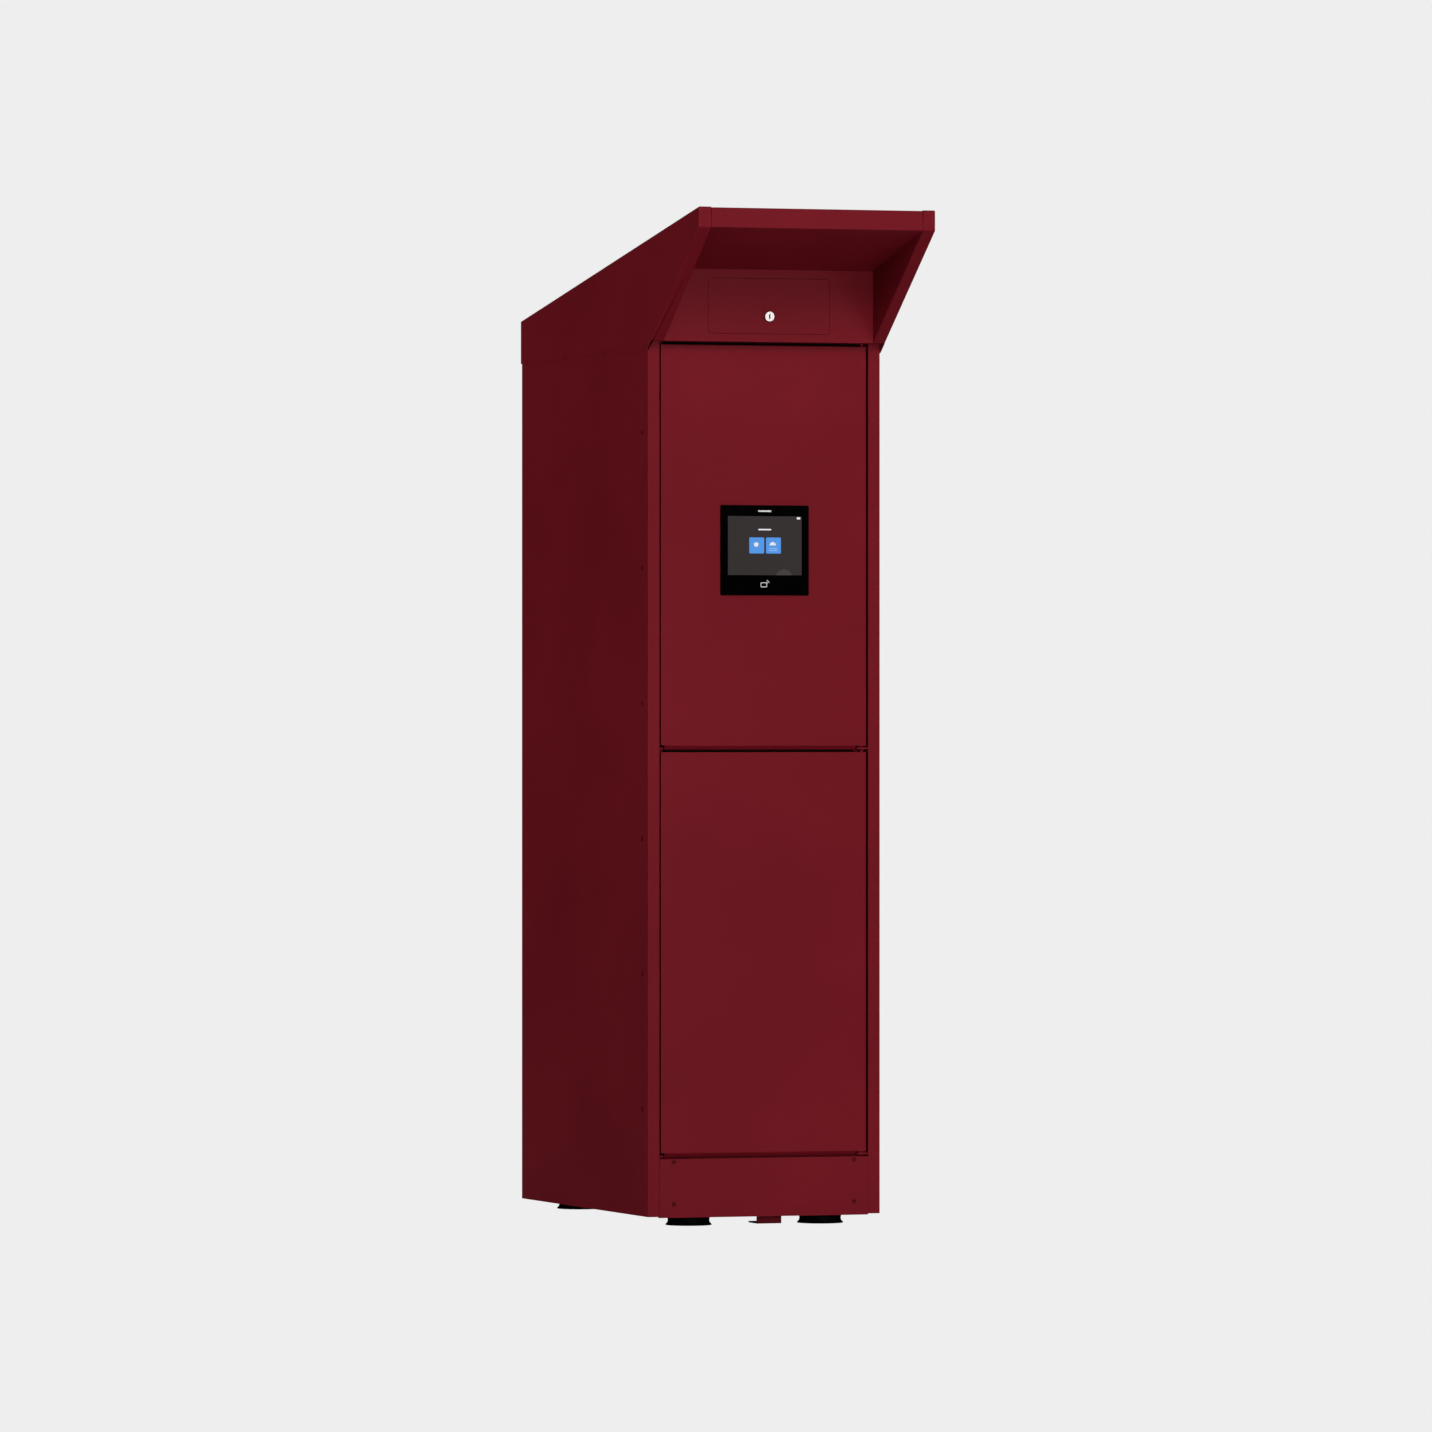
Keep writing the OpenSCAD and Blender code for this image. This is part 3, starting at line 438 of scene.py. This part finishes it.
SHEETS = (
    "side_panel_left", "side_panel_right", "jamb_left", "jamb_right", "back_panel", "base_pan",
    "lower_floor", "middle_shelf", "top_deck", "bottom_rail", "mid_rail", "top_rail",
    "plinth_panel", "hood_side_left", "hood_side_right", "hood_cheeks", "roof_panel", "fascia",
    "soffit", "hood_front_panel", "upper_door_skin", "lower_door_skin", "upper_door_liner",
    "lower_door_liner", "hatch_panel")
# Outside radius of a sheet's bends, and the sheets that are bent tighter, in mm
SHEET_FOLD = 1.7
FOLDS = {"side_panel_left": 0.8, "side_panel_right": 0.8, "plinth_panel": 0.4, "hatch_panel": 0.5,
         "upper_door_skin": 1.0, "lower_door_skin": 1.0}
# Edge radii of turned, moulded and machined pieces, in mm
SOLIDS = {
    "pivot_plates": 0.4, "anchor_bracket": 1.2, "foot_pads": 0.7, "foot_studs": 0.8,
    "foot_nuts": 0.8, "anchor_screws": 0.5, "side_rivets": 0.8, "hood_screws": 0.25,
    "back_screws": 0.7, "plinth_screws": 0.9, "pivot_pins": 0.5, "hatch_hinge_pins": 0.4,
    "latch_cases": 0.8, "latch_pins": 0.3, "controller_box": 1.5, "power_supply": 1.0,
    "cable_grommet": 0.8,
    "upper_door_bushes": 0.3, "lower_door_bushes": 0.3, "upper_door_strike": 0.4,
    "lower_door_strike": 0.4, "terminal_glass": 0.5, "display_module": 0.5,
    "terminal_housing": 0.7, "terminal_board": 0.2, "card_reader": 0.3, "lock_barrel": 0.3,
    "lock_nut": 0.6, "lock_plug": 0.25, "lock_cam": 0.3, "cam_screw": 0.4,
    "upper_latch_pawl": 0.5, "lower_latch_pawl": 0.5}

for node in SHEETS:
    rounded(node, FOLDS.get(node, SHEET_FOLD))
for node, size in SOLIDS.items():
    rounded(node, size, inside=size * 0.5, cut=size * 0.5, wide=1.2, segments=2, smooth=50)

# The door seals keep their CAD shape; their black rubber strips behind the door gaps are also
# painted shade that keeps the gaps dark
for node in ("upper_door_gasket", "lower_door_gasket"):
    for place in frame["nodes"][node].material_slots:
        place.material = MATERIALS[SLOTS[node]]


# ---- Terminal display ----

glass_low, glass_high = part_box("terminal_glass")
GLASS_Y = glass_low.y
GLASS_TOP = glass_high.z
MID_X = (glass_low.x + glass_high.x) / 2


def plate(name, loops, lift, material, thickness=0.08,
          origin=(MID_X, GLASS_Y, GLASS_TOP), body="upper_door"):
    """A thin plate in front of origin. loops are lists of (x, z) in mm, with z down; a second
    loop is a hole, with as many points as the first. lift is its face's height in mm."""
    bm = bmesh.new()
    rings = []
    for depth in (lift, lift - thickness):
        y = origin[1] - depth * MM
        rings.append([[bm.verts.new((origin[0] + x * MM, y, origin[2] - z * MM))
                       for x, z in loop] for loop in loops])
    front, back = rings
    count = len(loops[0])
    for ring, flip in ((front, False), (back, True)):
        if len(loops) == 1:
            face = list(ring[0])
            bm.faces.new(face[::-1] if flip else face)
        else:
            for i in range(count):
                j = (i + 1) % count
                bm.faces.new((ring[0][i], ring[0][j], ring[1][j], ring[1][i]))
    for k in range(len(loops)):
        for i in range(count):
            j = (i + 1) % count
            bm.faces.new((front[k][i], front[k][j], back[k][j], back[k][i]))
    bmesh.ops.recalc_face_normals(bm, faces=bm.faces)
    mesh = bpy.data.meshes.new(name)
    bm.to_mesh(mesh)
    bm.free()
    piece = bpy.data.objects.new(name, mesh)
    bpy.context.scene.collection.objects.link(piece)
    mesh.materials.append(material)
    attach(piece, body)
    return piece


def round_box(x0, z0, x1, z1, r, steps=5):
    """The outline of a box with round corners."""
    points = []
    for cx, cz, start in ((x1 - r, z0 + r, -90), (x1 - r, z1 - r, 0),
                          (x0 + r, z1 - r, 90), (x0 + r, z0 + r, 180)):
        for i in range(steps + 1):
            a = math.radians(start + 90 * i / steps)
            points.append((cx + r * math.cos(a), cz + r * math.sin(a)))
    return points


def arc(cx, cz, r, start, end, steps=16):
    """Points on an arc, with its angles in degrees."""
    return [(cx + r * math.cos(math.radians(start + (end - start) * i / steps)),
             cz + r * math.sin(math.radians(start + (end - start) * i / steps)))
            for i in range(steps + 1)]


# The lit area, and a plain picture on it: two buttons with simple marks, and plain bars
plate("screen", [round_box(-71.5, 20, 71.5, 128, 0.8)], 0.08, MATERIALS["display"])
plate("screen_glow", [arc(37, 133, 16, 198, 342)], 0.10, SCREEN_GREY)
for side, x in (("left", -15.7), ("right", 16.7)):
    plate("button_" + side, [round_box(x - 14.4, 59, x + 14.4, 88.3, 2)], 0.12, SCREEN_BLUE)
plate("headline", [round_box(-12.5, 43.2, 12.5, 45.8, 1.2)], 0.12, SCREEN_WHITE)
plate("status_mark", [round_box(62, 21.6, 69, 25.4, 1.2)], 0.12, SCREEN_WHITE)
plate("parcel_mark", [[(-21.5, 70), (-16.7, 67.6), (-11.9, 70), (-13.6, 75.6), (-19.8, 75.6)]],
      0.16, SCREEN_WHITE)
plate("dome_mark", [arc(15.4, 73.4, 6.2, 180, 360)], 0.16, SCREEN_WHITE)
for row, z in enumerate((78.4, 82)):
    plate("button_line_%d" % row, [round_box(8, z, 24, z + 1.5, 0.7)], 0.16, SCREEN_PALE)
plate("top_bar", [round_box(-13, 9.2, 13, 12.2, 1.4)], 0.06, PRINT_WHITE)
card = round_box(-8.2, 141.2, 4.4, 150.2, 1.8)
hole = round_box(-6.7, 142.7, 2.9, 148.7, 0.7)
plate("card_mark", [card, hole], 0.06, PRINT_WHITE)
for row, r in enumerate((3.2, 6.2)):
    band = arc(1.8, 144, r + 1.2, -75, -15, 8) + arc(1.8, 144, r, -15, -75, 8)
    plate("wave_mark_%d" % row, [band], 0.09, PRINT_WHITE)

# The dust shutter inside the lock's key slot: a black plate that is also painted shade, keeping
# the slot dark inside
plug_low, plug_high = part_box("lock_plug")
plug_front = ((plug_low.x + plug_high.x) / 2, plug_low.y, (plug_low.z + plug_high.z) / 2)
plate("key_shutter_shade", [round_box(-1.05, -3.85, 1.05, 3.85, 0.3)], -0.7,
      MATERIALS["black_plastic"], 0.3, plug_front, "hatch_lock")


# ---- Floor, light and camera ----

BACKDROP = 0.855
WORLD_LIGHT = 0.02
FLOOR_HALF = 300.0
FLOOR_GAP = 0.0002


def pale(tree, out, source, dim):
    """Pale to the eye, and dim as a light source, so the coat doesn't mirror the backdrop."""
    path = tree.nodes.new("ShaderNodeLightPath")
    mix = tree.nodes.new("ShaderNodeMixShader")
    bright = tree.nodes.new(source)
    bright.inputs["Color"].default_value = (1, 1, 1, 1)
    bright.inputs["Strength"].default_value = BACKDROP
    tree.links.new(path.outputs["Is Camera Ray"], mix.inputs[0])
    tree.links.new(dim.outputs[0], mix.inputs[1])
    tree.links.new(bright.outputs[0], mix.inputs[2])
    tree.links.new(mix.outputs[0], out.inputs["Surface"])


mesh = bpy.data.meshes.new("floor")
corners = [(x * FLOOR_HALF, y * FLOOR_HALF, 0) for x, y in ((-1, -1), (1, -1), (1, 1), (-1, 1))]
mesh.from_pydata(corners, [], [(0, 1, 2, 3)])
floor = bpy.data.objects.new("floor", mesh)
bpy.context.scene.collection.objects.link(floor)
floor.location.z = cad_low.z - FLOOR_GAP
floor_mat = bpy.data.materials.new("floor")
floor_mat.use_nodes = True
tree = floor_mat.node_tree
tree.nodes.clear()
matte = tree.nodes.new("ShaderNodeBsdfDiffuse")
# Light that the floor sends up to matt surfaces, and less of it in reflections
bounced = tree.nodes.new("ShaderNodeLightPath").outputs["Is Diffuse Ray"]
tree.links.new(spread(tree, bounced, 0.1, 0.45, 0, 1), matte.inputs["Color"])
pale(tree, tree.nodes.new("ShaderNodeOutputMaterial"), "ShaderNodeEmission", matte)
mesh.materials.append(floor_mat)

world = bpy.data.worlds.new("studio")
bpy.context.scene.world = world
world.use_nodes = True
tree = world.node_tree
tree.nodes.clear()
dim = tree.nodes.new("ShaderNodeBackground")
dim.inputs["Color"].default_value = (1, 1, 1, 1)
dim.inputs["Strength"].default_value = WORLD_LIGHT
pale(tree, tree.nodes.new("ShaderNodeOutputWorld"), "ShaderNodeBackground", dim)
bpy.context.scene.view_settings.view_transform = "Standard"


def softbox(name, place, target, width, height, power, mirrored=True):
    """A soft lamp at place that points at target, in metres and watts."""
    data = bpy.data.lights.new(name, "AREA")
    data.shape = "RECTANGLE"
    data.size = width
    data.size_y = height
    data.energy = power
    lamp = bpy.data.objects.new(name, data)
    bpy.context.scene.collection.objects.link(lamp)
    lamp.location = place
    aim = Vector(target) - Vector(place)
    lamp.rotation_mode = "QUATERNION"
    lamp.rotation_quaternion = aim.to_track_quat("-Z", "Y")
    lamp.visible_camera = False
    lamp.visible_glossy = mirrored
    return lamp


softbox("key_low", (-0.35, -7.0, 0.65), (0, -0.25, 0.8), 1.8, 1.2, 112)
softbox("key_high", (-0.35, -6.0, 4.9), (0, 0, 1.2), 2.2, 2.0, 165, False)
softbox("side", (-7.0, -0.3, 2.3), (0, 0, 1.0), 3.0, 3.0, 175)
softbox("sheen", (2.3, -6.5, 3.0), (0, 0, 1.3), 1.6, 1.6, 46)
softbox("lift", (0.0, -3.5, 0.1), (0, -0.4, 1.8), 3.0, 1.5, 8)
softbox("rim", (6.0, 5.0, 4.5), (0, 0, 1.0), 4.0, 4.0, 420)

# The camera looks level, 19 degrees round from the front, through a long lens
data = bpy.data.cameras.new("camera")
data.lens = 248.8
data.sensor_width = 36.0
data.clip_start = 0.5
data.clip_end = 900.0
camera = bpy.data.objects.new("camera", data)
bpy.context.scene.collection.objects.link(camera)
camera.location = (-5.991, -17.357, 0.9333)
camera.rotation_euler = (math.radians(90), 0, math.radians(-19))
bpy.context.scene.camera = camera
